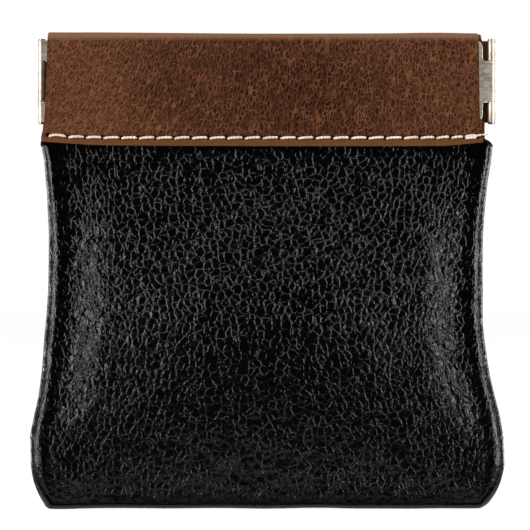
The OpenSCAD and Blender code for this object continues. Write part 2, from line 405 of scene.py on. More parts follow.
@dataclass(frozen=True)
class OiledBrownLeather:
    """Vegetable-tanned brown leather, oiled and left matt.

    Handling has opened a fine net of lighter cracks, and the oil leaves darker reddish spots between.
    """

    base: str = "#2a1207"
    deep: str = "#1a0a03"
    spot: str = "#140501"
    vein: str = "#744930"
    # The fold's colour: wear, and a painted highlight where the top lamp falls on the fold.
    fold: str = "#86624a"
    margin: str = "#6b4426"
    # Painted light: the band's ends are coloured paler where the lamps fall on them.
    pale: str = "#8a5e48"
    # Painted shade in the needle holes.
    pierced: str = "#060201"
    # The real cracks part cells of about 0.3 to 0.7 mm. They are drawn as two nets, of 0.68 and 0.37 mm.
    crackle: float = 0.68
    fine_crackle: float = 0.55 * 0.68
    pores_per_mm: float = 7.0
    relief: float = 0.05
    roughness: float = 0.75
    gloss: float = 0.04

    def material(self) -> bpy.types.Material:
        """Makes the leather, on both of its faces and on its cut edges.

        Returns:
            The finish of both bands.
        """
        material, graph, shader = new_material("brown_oiled_leather")
        hide = graph.add("Attribute", {}, attribute_name="hide").outputs["Vector"]
        worn, margin, hole, pale = [
            graph.add("Attribute", {}, attribute_name=name).outputs["Fac"]
            for name in ("worn", "margin", "hole", "pale")
        ]
        warp = graph.add("TexNoise", {"Vector": hide, "Scale": 0.9, "Detail": 3.0})
        shift = (warp.outputs["Color"], (0.8, 0.8, 0.0), hide)
        moved = graph.add("VectorMath", shift, operation="MULTIPLY_ADD")
        strength = graph.add("TexNoise", {"Vector": hide, "Scale": 0.5, "Detail": 4.0})
        mottle = graph.add("TexNoise", {"Vector": moved, "Scale": 0.8, "Detail": 4.0})
        drawn = graph.add("Mapping", {"Vector": moved, "Scale": (2.6, 0.75, 1.0)})
        fibre = graph.add("TexNoise", {"Vector": drawn, "Scale": 1.0, "Detail": 4.0, "Roughness": 0.65})
        shapes = []
        for feature, size, start, end, noise, low, high, paler in (
            ("DISTANCE_TO_EDGE", self.crackle, 0.12, 0.0, mottle, 0.18, 0.8, 2.0),
            ("DISTANCE_TO_EDGE", self.fine_crackle, 0.17, 0.0, fibre, 0.0, 0.42, 1.4),
            ("F1", self.crackle, 0.5, 0.12, strength, 0.42, 0.08, 0.0),
        ):
            cells = graph.add("TexVoronoi", {"Vector": moved, "Scale": 1.0 / size}, feature=feature)
            shape = graph.add("MapRange", (cells, start, end), interpolation_type="SMOOTHSTEP")
            patch = graph.add("MapRange", (noise, 0.4, 0.6, low, high))
            patch = graph.add("Math", (pale, paler, patch), operation="MULTIPLY_ADD")
            shapes.append(graph.add("Math", (shape, patch), operation="MULTIPLY"))
        vein, fine, dark = shapes
        tone = graph.add("Mix", {0: 0.4, 2: strength, 3: fibre}, data_type="FLOAT")
        colour = graph.add("ValToRGB", (tone,), ((0.38, self.deep), (0.6, self.base)))
        for share, other in (
            # Paler ends: painted light.
            (graph.add("Math", (pale, 0.4), operation="MULTIPLY"), self.pale),
            (dark, self.spot),
            (fine, self.vein),
            (vein, self.vein),
            # The fold: wear and a painted highlight.
            (worn, self.fold),
            (margin, self.margin),
            (hole, self.pierced),
        ):
            colour = graph.add("Mix", {0: share, 6: colour, 7: linear(other)}, data_type="RGBA")
        pores = graph.add("TexNoise", {"Vector": hide, "Scale": self.pores_per_mm, "Detail": 2.0})
        bump = {"Strength": 0.5, "Distance": self.relief * MM}
        crack = graph.add("Bump", {"Height": vein, **bump})
        surface = graph.add("Bump", {"Height": pores, "Normal": crack, **bump})
        graph.wire(shader, {"Base Color": colour, "Normal": surface, "Roughness": self.roughness})
        shader.inputs["Specular IOR Level"].default_value = self.gloss
        return material


@dataclass(frozen=True)
class SpunThread:
    """Spun polyester sewing thread: matt, with the lie of its fibres showing as fine slanted lines."""

    name: str
    colour: str
    shade: str
    # Real fibres are about 0.02 mm thick. They are drawn as streaks of 0.45, which show at 0.18 mm a pixel.
    fibre: float = 0.45
    fibre_depth: float = 0.04
    slant: float = 0.6

    def material(self) -> bpy.types.Material:
        """Makes the thread's material.

        Returns:
            The finish of a row of stitches or of the seam.
        """
        material, graph, shader = new_material(self.name)
        place = graph.add("TexCoord", {}).outputs["Object"]
        streaks = {"Vector": place, "Rotation": (0, self.slant, 0), "Scale": (0.25 / MM, 1 / MM, 1 / MM)}
        scaled = graph.add("Mapping", streaks)
        fibres = graph.add("TexNoise", {"Vector": scaled, "Scale": 1.0 / self.fibre, "Detail": 2.0})
        colour = graph.add("ValToRGB", (fibres,), ((0.3, self.shade), (0.62, self.colour)))
        bump = graph.add("Bump", {"Height": fibres, "Strength": 0.6, "Distance": self.fibre_depth * MM})
        graph.wire(shader, {"Base Color": colour, "Normal": bump, "Roughness": 0.75, "Sheen Weight": 0.2})
        return material


@dataclass(frozen=True)
class NickelPlatedSteel:
    """Nickel-plated spring steel: warm grey metal, drawn lengthwise and scuffed in handling."""

    name: str
    colour: str = "#f1e9db"
    dull: str = "#cdbfa8"
    # Painted shade: the strips' inner faces are coloured darker for the shadow they lie in.
    tarnish: str = "#8a6247"
    roughness: float = 0.42
    # Real drawing lines and scuffs are finer than 0.05 mm, and are drawn about 0.1 mm wide.
    lines_per_mm: float = 9.0
    scuffs_per_mm: float = 12.0
    clouds_per_mm: float = 0.6
    scratch: float = 0.02

    def material(self) -> bpy.types.Material:
        """Makes the plated metal.

        Returns:
            The finish of the strips or of the pins.
        """
        material, graph, shader = new_material(self.name)
        place = graph.add("TexCoord", {}).outputs["Object"]
        patterns = []
        for turn, long, fine, detail in (
            (0.0, 0.9, self.lines_per_mm, 3.0),
            (0.9, 0.7, self.scuffs_per_mm, 2.0),
        ):
            scale = (long / MM, long / MM, fine / MM)
            drawn = graph.add("Mapping", {"Vector": place, "Rotation": (0, turn, 0), "Scale": scale})
            patterns.append(graph.add("TexNoise", {"Vector": drawn, "Scale": 1.0, "Detail": detail}))
        lines, scuffs = patterns
        cloud = graph.add("TexNoise", {"Vector": place, "Scale": self.clouds_per_mm / MM, "Detail": 2.0})
        marks = graph.add("Math", (scuffs, 0.8, -0.4), operation="MULTIPLY_ADD")
        mixed = graph.add("Math", (cloud, marks), operation="ADD")
        colour = graph.add("ValToRGB", (mixed,), ((0.3, self.dull), (0.6, self.colour)))
        rough = graph.add("MapRange", (lines, 0.3, 0.7, self.roughness - 0.07, self.roughness + 0.12))
        bump = {"Strength": 0.3, "Distance": self.scratch * MM}
        first = graph.add("Bump", {"Height": lines, **bump})
        second = graph.add("Bump", {"Height": scuffs, "Normal": first, **bump})
        # The inner faces get the painted shade colour.
        inside = graph.add("Attribute", {}, attribute_name="inside").outputs["Fac"]
        colour = graph.add("Mix", {0: inside, 6: colour, 7: linear(self.tarnish)}, data_type="RGBA")
        graph.wire(shader, {"Base Color": colour, "Roughness": rough, "Normal": second, "Metallic": 1.0})
        return material


@dataclass(frozen=True)
class MouthMotion:
    """How the sprung mouth bows at its widest, which the leather follows."""

    turn: float = math.radians(24.0)
    slide: float = 16.85
    bend_half: float = 38.0
    strip_middle: float = 79.1

    def shares(self, x: Points) -> Points:
        """How far the mouth stands out across it.

        Args:
            x: Places across the purse.

        Returns:
            The way out at each place, as a share of the middle's.
        """
        along = np.linspace(0.0, 42.0, 421)
        u = np.clip(along / self.bend_half, 0.0, 1.0)
        lean = self.turn * (3.0 * u - u**3) / 2.0
        out = 1.0 - along * np.sin(lean) / self.slide
        return np.clip(np.interp(np.abs(x), along * np.cos(lean), out), 0.0, 1.0)


@dataclass
class LeatherPanel:
    """One of the bag's two black panels, turned in at its edges and tucked into its band."""

    face: Face
    finish: bpy.types.Material
    seed: int
    pitch: float = 0.245
    lining_step: int = 4
    leather: float = 1.0
    mate: float = 0.03
    tuck_out: float = 1.11
    top: float = 70.3
    ear: float = 66.9
    foot_cut: float = 0.35
    side_roll: float = 2.6
    foot_roll: float = 1.25
    roll_steps: int = 17
    edge_ripple: float = 0.06
    groove: float = 0.06
    groove_width: float = 1.1
    allowance: float = 3.5
    belly: float = 4.09
    belly_top: float = 31.0
    shoulder_start: float = 5.2
    shoulder: float = 6.2
    foot_shoulder: float = 34.0

    def outline(self, z: Points, side: int) -> Points:
        """Half width, from the purse's middle to one side.

        Args:
            z: Heights.
            side: -1 for the left as seen from the front, 1 for the right.

        Returns:
            The half width at each height.
        """
        left = SmoothLine(
            *((0.0, 40.6), (0.4, 41.1), (0.8, 41.3), (1.9, 41.95), (3.4, 42.6), (5.2, 43.2), (8.9, 43.82)),
            *((12.6, 43.85), (16.3, 43.23), (20.1, 42.43), (23.8, 41.9), (29.3, 41.36), (34.9, 40.9)),
            *((42.3, 40.46), (49.7, 40.35), (55.3, 40.58), (60.9, 40.93), (64.6, 41.25), (67.0, 41.7)),
            *((67.9, 41.65), (68.5, 40.5), (68.9, 38.9), (70.3, 38.5)),
        )
        right = SmoothLine(
            *((0.0, 39.9), (0.4, 40.6), (0.8, 41.1), (1.9, 41.9), (3.4, 42.75), (5.2, 43.45), (8.9, 44.1)),
            *((12.6, 43.96), (16.3, 43.35), (20.1, 42.43), (23.8, 41.55), (29.3, 40.67), (34.9, 40.06)),
            *((42.3, 40.0), (49.7, 40.06), (55.3, 40.42), (60.9, 41.0), (64.6, 41.6), (66.8, 41.8)),
            *((67.7, 41.3), (68.4, 40.2), (68.9, 38.9), (70.3, 38.5)),
        )
        ripple = SoftNoise(31 + side, 4.5)(z, np.zeros_like(z))
        ripple = self.edge_ripple * ripple * ease(z / 6.0) * (1.0 - ease((z - 60.0) / 5.0))
        return (left if side < 0 else right)(z) + ripple

    def rows(self) -> Points:
        """Heights of the grid's rows, closer together at the foot's roll.

        Returns:
            The heights, in rising order.
        """
        roll = [0.0, 0.05, 0.12, 0.2, 0.3, 0.42, 0.55]
        count = int((self.top - self.pitch - roll[-1]) / self.pitch)
        count -= (count + len(roll) - 1) % self.lining_step
        return np.concatenate([roll, np.linspace(roll[-1], self.top, count + 1)[1:]])

    def columns(self, z: Points) -> tuple[Points, Points]:
        """Places of the grid's columns, closer together at the sides' rolls.

        Args:
            z: Heights of the rows.

        Returns:
            The places across, and the distances in from the nearer side, both row by column.
        """
        roll = self.side_roll * (1.0 - np.cos(np.linspace(0.0, math.pi / 2, self.roll_steps)))
        inner = int(2 * 40.0 / self.pitch)
        inner += -(inner + 2 * (self.roll_steps - 1)) % self.lining_step
        share = np.linspace(0.0, 1.0, inner + 1)[1:-1]
        left, right = -self.outline(z, -1)[:, None], self.outline(z, 1)[:, None]
        start, end = left + self.side_roll, right - self.side_roll
        x = np.concatenate([left + roll, start + (end - start) * share, right - roll[::-1]], axis=1)
        return x, np.maximum(np.minimum(x - left, right - x), 0.0)

    def depth_in(self, inset: Points, z: Points) -> Points:
        """Distance in from the edge, rounded in the foot's corners."""
        return (np.maximum(inset, 1e-3) ** -4.0 + (z + self.foot_cut) ** -4.0) ** -0.25

    def outward(self, x: Points, z: Points, inset: Points) -> Points:
        """The outer face's shape: rolled edges, a groove inside them and a swollen middle.

        Args:
            x: Places across.
            z: Heights.
            inset: Distances in from the nearer side.

        Returns:
            The outer face's distances from the middle plane.
        """
        depth = self.depth_in(inset, z)
        side = np.maximum(inset, 1e-3) ** 4
        near_foot = side / (side + (z + self.foot_cut) ** 4)
        side_roll = self.side_roll * (1.0 - 0.42 * ease((z - 44.0) / 20.0))
        radius = side_roll + (self.foot_roll - side_roll) * near_foot
        roll = np.sqrt(1.0 - (1.0 - np.clip(depth / radius, 0.0, 1.0)) ** 2)
        groove = self.groove * bump_at(depth, 1.35 * radius[0, 0], self.groove_width)
        groove *= (1 - near_foot) * (1 - ease((z - 58.0) / 8.0))
        flank = 0.28 * ease((inset - self.shoulder_start) / self.shoulder) + 0.72 * ease((inset - 5.0) / 33.0)
        rise = flank * ease((z - 2.6) / self.foot_shoulder)
        fall = 1.0 - ease((z - self.belly_top) / (self.ear - self.belly_top))
        swell = 0.22 * SoftNoise(self.seed, 17.0)(x, z) + 0.07 * SoftNoise(self.seed + 1, 6.0)(x, z)
        swell += 0.045 * SoftNoise(self.seed + 2, 2.6)(x, z) * bump_at(inset, 8.5, 5.0)
        flat = self.tuck_out + self.leather
        body = self.mate + (flat - self.mate) * roll - groove + self.belly * rise * fall
        body += swell * ease((depth - 1.5) / 5.0) * (1 - ease((z - 60.0) / 6.0))
        return np.where(z > self.ear, flat, body)

    def lining(self, x: Points, z: Points, inset: Points) -> Points:
        """The inner face's shape: the turned-in edges, then the flesh side.

        Args:
            x: Places across.
            z: Heights.
            inset: Distances in from the nearer side.

        Returns:
            The inner face's distances from the middle plane.
        """
        wall = self.outward(x, z, inset) - self.leather
        share = ease(self.depth_in(inset, z) - self.allowance + 0.4)
        share = np.maximum(share, ease((z - self.ear + 3.0) / 3.0))
        return self.mate * 0.6 * (1 - share) + wall * share

    def sink(self, x: Points, z: Points) -> Points:
        """How far the foot's lowest edge lifts off the table along its length.

        Args:
            x: Places across.
            z: Heights.

        Returns:
            The lift at each place, which dies out above the foot.
        """
        wave = 0.16 + 0.1 * SoftNoise(77, 9.0)(x, np.zeros_like(x))
        wave *= 1.0 - bump_at(x, -38.0, 3.5) - 0.4 * bump_at(x, 37.0, 4.0)
        return np.maximum(wave, 0.0) * (1.0 - ease(z / 7.0))

    def build(self) -> bpy.types.Object:
        """Makes the panel: a fine outer face, a coarser inner one and the rim between them.

        Returns:
            The panel.
        """
        levels = self.rows()
        x, inset = self.columns(levels)
        z = np.repeat(levels[:, None], x.shape[1], axis=1)
        lift = self.sink(x, z)
        sign, step = self.face.value, self.lining_step
        outer = np.stack([x, sign * self.outward(x, z, inset), z + lift], axis=-1)
        xi, zi, ii, lift = [a[::step, ::step] for a in (x, z, inset, lift)]
        squeeze = np.clip(1.0 - 0.15 / np.maximum(np.abs(xi), 1.0), 0.0, 1.0)
        inner = np.stack([xi * squeeze, sign * self.lining(xi, zi, ii), zi + lift], axis=-1)
        points = np.concatenate([outer.reshape(-1, 3), inner.reshape(-1, 3)])
        grid_out = np.arange(x.size).reshape(x.shape)
        grid_in = x.size + np.arange(xi.size).reshape(xi.shape)
        faces = quads(grid_out) + quads(grid_in.T)
        ring_out, ring_in = rim(grid_out), rim(grid_in)
        half = step // 2
        for k, a in enumerate(ring_in):
            b = ring_in[(k + 1) % len(ring_in)]
            o = [ring_out[(k * step + n) % len(ring_out)] for n in range(step + 1)]
            faces += [(o[n], a if n < half else b, o[n + 1]) for n in range(step)] + [(o[half], a, b)]
        name = f"{self.face.word}_bag_panel"
        piece = make_piece(name, points, faces, self.finish, self.face is Face.REAR)
        self.mark(piece, outer, x, z, inset)
        return piece

    def mark(self, piece: bpy.types.Object, outer: Points, x: Points, z: Points, inset: Points) -> None:
        """Stores the flat hide's coordinates and how pebbled, crumpled and pored each place is.

        Args:
            piece: The panel.
            outer: Points of the outer face, row by column.
            x: Their places across.
            z: Their heights.
            inset: Their distances in from the nearer side.
        """
        # The hide is gathered at the shoulders and foot, which crowds its pebbles there.
        crowd = 1.0 + 0.35 * bump_at(inset[:, 1:], 8.0, 5.0) * (0.35 + 0.65 * ease((z[:, 1:] - 8.0) / 20.0))
        across = np.linalg.norm(np.diff(outer, axis=1), axis=2) * crowd
        u = np.pad(np.cumsum(across, axis=1), ((0, 0), (1, 0)))
        u -= u[:, [u.shape[1] // 2]]
        up = np.linalg.norm(np.diff(outer, axis=0), axis=2) * (1.0 - 0.15 * bump_at(z[1:], 4.0, 9.0))
        v = np.pad(np.cumsum(up, axis=0), ((1, 0), (0, 0)))
        v -= 0.5 * (v[0] + v[-1])[None, :] - 0.5 * (v[0] + v[-1]).mean()
        hide = np.stack([u, 0.95 * v, np.full_like(u, 7.0 * self.seed)], axis=-1)
        hip = (1.0 - ease((z - 9.0) / 16.0)) * (1.0 - ease((inset - 8.0) / 6.0))
        grain = (0.5 + 0.5 * ease((inset - 3.0) / 2.8)) * (0.35 + 0.65 * ease((z - 1.5) / 1.4))
        grain *= 1.0 - 0.25 * ease((z - 54.0) / 10.0) * ease((np.abs(x) - 22.0) / 14.0)
        grain *= (1.0 - 0.35 * ease((z - 62.0) / 5.0)) * (1.0 - 0.35 * hip)
        gathered = ease((z - 9.0) / 11.0) * (1.0 - 0.8 * ease((z - 46.0) / 11.0))
        crumple = 0.06 + 0.94 * bump_at(inset, 8.3, 3.4) * gathered
        crumple = np.maximum(crumple, 0.55 * (1.0 - ease((self.depth_in(inset, z) - 1.4) / 1.4)))
        groove = bump_at(inset, 3.9, 1.6) * (1.0 - 0.7 * ease((z - 50.0) / 10.0))
        satin = np.maximum(1.0 - 0.7 * groove - 0.55 * bump_at(inset, 8.3, 3.2) - 0.35 * hip, 0.2)
        step = self.lining_step
        inner = hide[::step, ::step].reshape(-1, 3)
        write_attribute(piece, "hide", np.concatenate([hide.reshape(-1, 3), inner]))
        for name, values, within in (
            ("grain", grain, 0.1),
            ("crumple", crumple, 0.1),
            ("satin", satin, 1.0),
            ("flesh", np.zeros_like(grain), 1.0),
        ):
            write_attribute(piece, name, np.concatenate([values.ravel(), np.full(len(inner), within)]))

    def emboss(self, piece: bpy.types.Object, grain: PebbleGrain) -> None:
        """Presses the pebbles into the mesh with a geometry modifier, and applies it.

        Args:
            piece: The panel.
            grain: The pebbles' relief.
        """
        tree = bpy.data.node_groups.new("pebbles", "GeometryNodeTree")
        for way in ("INPUT", "OUTPUT"):
            tree.interface.new_socket("Geometry", in_out=way, socket_type="NodeSocketGeometry")
        graph = Graph(tree)
        hide, share, fine = [
            graph.add("GeometryNodeInputNamedAttribute", {"Name": name}, data_type=kind).outputs["Attribute"]
            for name, kind in (("hide", "FLOAT_VECTOR"), ("grain", "FLOAT"), ("crumple", "FLOAT"))
        ]
        push = graph.add("Math", (grain.height(graph, hide, share, fine), MM), operation="MULTIPLY")
        normal = graph.add("GeometryNodeInputNormal", {})
        offset = graph.add("VectorMath", {0: normal, "Scale": push}, operation="SCALE")
        start = graph.add("NodeGroupInput", {})
        moved = graph.add("GeometryNodeSetPosition", {"Geometry": start, "Offset": offset})
        graph.add("NodeGroupOutput", (moved,))
        piece.modifiers.new("pebbles", "NODES").node_group = tree
        depsgraph = bpy.context.evaluated_depsgraph_get()
        shaped = bpy.data.meshes.new_from_object(piece.evaluated_get(depsgraph), depsgraph=depsgraph)
        old = piece.data
        piece.modifiers.clear()
        piece.data = shaped
        shaped.name = old.name
        bpy.data.meshes.remove(old)

    def follow(self, piece: bpy.types.Object) -> None:
        """Lets the panel's top edge bow out with the mouth while its sides and foot stay.

        Args:
            piece: The panel.
        """
        mouth = f"{self.face.word}_mouth"
        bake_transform(piece, "bag", mouth, start=(0, 0, 0), end=(0, 0, self.top * MM))
        flat = np.empty(len(piece.data.vertices) * 3, dtype=np.float32)
        piece.data.vertices.foreach_get("co", flat)
        x, _, z = flat.reshape(-1, 3).T / MM
        weights = MouthMotion().shares(x) * ease(z / 66.0) ** 0.9
        data = piece.data.attributes["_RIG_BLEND"].data
        data.foreach_set("value", np.ascontiguousarray(weights, dtype=np.float32))


@dataclass(frozen=True)
class StitchRow:
    """Where the band's needle holes are: even stitches that get shorter towards the right end."""

    first: float = -40.33
    count: int = 25
    pitch: float = 3.25
    first_longer: float = 0.35
    even_count: int = 19
    shortening: float = 0.17
    unevenness: float = 0.04

    def holes(self) -> Points:
        """Places of the needle holes across the purse.

        Returns:
            One place more than there are stitches, from left to right.
        """
        places = [self.first]
        for k in range(self.count):
            shorter = self.shortening * max(0, k - self.even_count)
            longer = self.first_longer if k == 0 else 0.0
            uneven = self.unevenness * math.sin(2.4 * k)
            places.append(places[-1] + self.pitch + longer - shorter + uneven)
        return np.array(places)

    def level(self, x: Points) -> Points:
        """Height of the row at each place, lowest in the middle."""
        left = ((-41.0, 69.05), (-39.2, 68.98), (-36.6, 68.72), (-32.0, 68.58), (-24.0, 68.5))
        return SmoothLine(*left, (22.0, 68.5), (32.0, 68.58), (40.0, 68.7))(x)


def pinch_share(x: Points) -> Points:
    """How far the mouth's layers have come together: not at all in the middle, fully at the hinges."""
    return ease((np.abs(x) - 28.5) / 10.8)


@dataclass
class MouthBand:
    """A brown leather band folded over its spring strip, with the panel sewn between its layers."""

    face: Face
    finish: bpy.types.Material
    row: StitchRow
    seed: int
    across: int = 330
    layers: int = 3
    bottom: float = 67.4
    fold_height: float = 86.85
    inner_face: float = 0.25
    inner_slot: float = 1.05
    strip_slot: float = 1.55
    skirt_slot: float = 2.17
    leather: float = 1.0
    skirt_top: float = 70.4
    strip_bottom: float = 71.7
    pinch: float = 0.66
    hole_depth: float = 0.6
    seam_depth: float = 0.1
    pucker_height: float = 0.05

    def section(self) -> tuple[Points, Points, Points]:
        """The band's section, from the outer layer's lower edge over the fold to the inner one's.

        Returns:
            Outer points and slot points, as pairs of outward distance and height, and the share of
            the lower edge's sag that each takes.
        """
        fine = np.arange(self.bottom, self.bottom + 2.4, 0.13)
        levels = np.concatenate([fine, np.linspace(fine[-1], self.fold_height, 36)[1:]])
        narrowing = ease((levels - self.skirt_top) / (self.strip_bottom - self.skirt_top + 1.0))
        slot = self.skirt_slot + (self.strip_slot - self.skirt_slot) * narrowing
        radius = (self.strip_slot + self.leather - self.inner_face) / 2
        hollow = (self.strip_slot - self.inner_slot) / 2
        turn = np.linspace(0, math.pi, 17)[1:-1]
        down = np.concatenate([np.linspace(self.fold_height, fine[-1], 24)[:-1], fine[::-2]])
        outer, inner = [
            np.concatenate(
                [
                    np.column_stack([front, levels]),
                    np.column_stack([back + r + r * np.cos(turn), self.fold_height + r * np.sin(turn)]),
                    np.column_stack([np.full_like(down, back), down]),
                ]
            )
            for front, back, r in (
                (slot + self.leather, self.inner_face, radius),
                (slot, self.inner_slot, hollow),
            )
        ]
        return outer, inner, 1.0 - ease((outer[:, 1] - self.bottom) / 9.0)

    def ends(self, z: Points, out: Points) -> tuple[Points, Points]:
        """The band's slanted ends at each height of the section.

        Args:
            z: Heights.
            out: Outward distances, which tell the outer layer from the inner one.

        Returns:
            Places of the left end and of the right end.
        """
        if self.face is Face.FRONT:
            low = ((67.0, -41.5), (68.0, -41.5), (69.6, -41.2))
            left = SmoothLine(*low, (75.4, -40.85), (86.5, -40.45), (88.0, -40.35))
            right = SmoothLine((67.0, 39.9), (69.4, 39.7), (73.4, 39.35), (86.5, 39.1), (88.0, 38.95))
        else:
            left = SmoothLine((67.0, -40.6), (75.4, -40.3), (86.5, -40.55), (88.0, -40.3))
            right = SmoothLine((67.0, 40.75), (75.4, 40.5), (86.5, 40.1), (88.0, 39.9))
        corner = 0.15 * ease((z - self.fold_height - 0.8) / 0.35) ** 2
        back = ease((1.5 - out) / 0.8)
        first, last = left(z) + corner, right(z) - corner
        return first + (-39.7 - first) * back, last + (39.2 - last) * back

    def build(self) -> bpy.types.Object:
        """Makes the band as one folded strip with cut edges all round.

        Returns:
            The band.
        """
        outer, inner, share = self.section()
        left, right = self.ends(outer[:, 1], outer[:, 0])
        x = left[:, None] + (right - left)[:, None] * np.linspace(0.0, 1.0, self.across + 1)
        nearest = np.min(np.abs(x[:, :, None] - self.row.holes()), axis=2)
        edge = ((-41.5, 0.44), (-37.3, 0.13), (-29.0, -0.27), (-16.0, -0.35), (10.0, -0.42))
        sag = SmoothLine(*edge, (31.7, -0.38), (36.7, -0.02), (39.9, 0.3))
        fold = ((-40.0, 0.17), (-22.0, 0.02), (0.0, -0.14), (20.0, -0.1), (32.0, 0.03), (40.0, -0.04))
        crown = SmoothLine(*fold)
        lift = share[:, None] * sag(x) + (1.0 - share[:, None]) * crown(x)
        up = outer[:, 1][:, None] + lift
        off_row = up - self.row.level(x)
        # The needle went through both layers below the strip: stations counted from the two lower edges.
        station = np.arange(len(outer))[:, None]
        low = ((station < 55) | (station > len(outer) - 20)) & (up < self.fold_height - 8)
        hole = np.exp(-((nearest / 0.36) ** 4) - (off_row / 0.34) ** 4) * low
        seam = np.exp(-((off_row / 0.42) ** 2)) * low
        pucker = np.exp(-((nearest / 0.7) ** 2) - ((off_row - 0.55) / 0.6) ** 2) * low
        wave = 0.10 * SoftNoise(self.seed, 9.0)(x, up) + 0.05 * SoftNoise(self.seed + 1, 3.5)(x, up)
        wave *= 1.0 - ease((up - 84.0) / 2.0)
        press = self.seam_depth * seam + self.hole_depth * hole - self.pucker_height * pucker
        press = press - wave * (outer[:, 0] > 1.6)[:, None]
        press = press + 0.22 * ease((-off_row - 0.2) / 1.2) * low
        press = press + 0.05 * SoftNoise(self.seed + 2, 0.7)(x, up) * bump_at(up, self.bottom, 0.4)
        away = outer - inner
        away = away / np.linalg.norm(away, axis=1)[:, None]
        drawn_in = self.pinch * pinch_share(x) * ease((up - self.skirt_top + 0.4) / 3.0)
        sheets = []
        for t in np.arange(self.layers + 1) / self.layers:
            mid = inner + (outer - inner) * t
            share_in = np.clip((mid[:, 0] - self.inner_face) / 0.8, 0.28, 1.0)
            o = mid[:, 0][:, None] - away[:, 0][:, None] * press * t - drawn_in * share_in[:, None]
            h = mid[:, 1][:, None] + lift - away[:, 1][:, None] * press * t
            sheets.append(np.stack([x, self.face.value * o, h], axis=-1))
        points, faces, source = lattice_shell(np.stack(sheets))
        name = f"{self.face.word}_mouth_band"
        piece = make_piece(name, points, faces, self.finish, self.face is Face.FRONT)
        self.mark(piece, source, x, up, run_lengths(outer), hole)
        return piece

    def mark(
        self, piece: bpy.types.Object, source: Points, x: Points, up: Points, along: Points, hole: Points
    ) -> None:
        """Stores the hide's coordinates, and where it is cut, where its fold is worn and carries a painted
        highlight, where it is paler with painted light, and where its needle holes get painted shade.

        Args:
            piece: The band.
            source: Layer, station and column of each point.
            x: Places across, station by column.
            up: Heights, station by column.
            along: Distance round the section at each station.
            hole: How much each place lies in a needle hole.
        """
        layer, station, column = source.T
        px, pz, round_it = x[station, column], up[station, column], along[station]
        lean = 0.6 - 0.46 * ease((px + 32.0) / 40.0)
        slanted = [px * 1.1 - lean * round_it, 0.52 * round_it, layer + 13.0 * self.seed]
        write_attribute(piece, "hide", np.column_stack(slanted))
        cut = (layer < self.layers).astype(float)
        cloud = 0.5 + 0.5 * SoftNoise(self.seed + 5, 11.0)(px, pz)
        below = ease((self.row.level(px) - 0.05 - pz) / 0.35)
        for name, values in (
            # The top of the fold: wear, and a painted highlight from the top lamp.
            ("worn", 0.8 * ease((pz - 86.3) / 1.2) * (1 - cut * 0.5)),
            # Paler towards the left end and a little towards the right: painted light where the lamps fall on
            # the band's ends, with a random cloudy tone over all.
            ("pale", 0.22 * ease((-12.0 - px) / 22.0) + 0.08 * ease((px - 8.0) / 20.0) + 0.08 * cloud),
            ("margin", np.maximum(below * 0.85, cut * 0.6)),
            # The needle holes on the leather's faces get painted shade.
            ("hole", np.clip(hole[station, column] * 1.3, 0.0, 1.0) * (1 - cut)),
        ):
            write_attribute(piece, name, values)


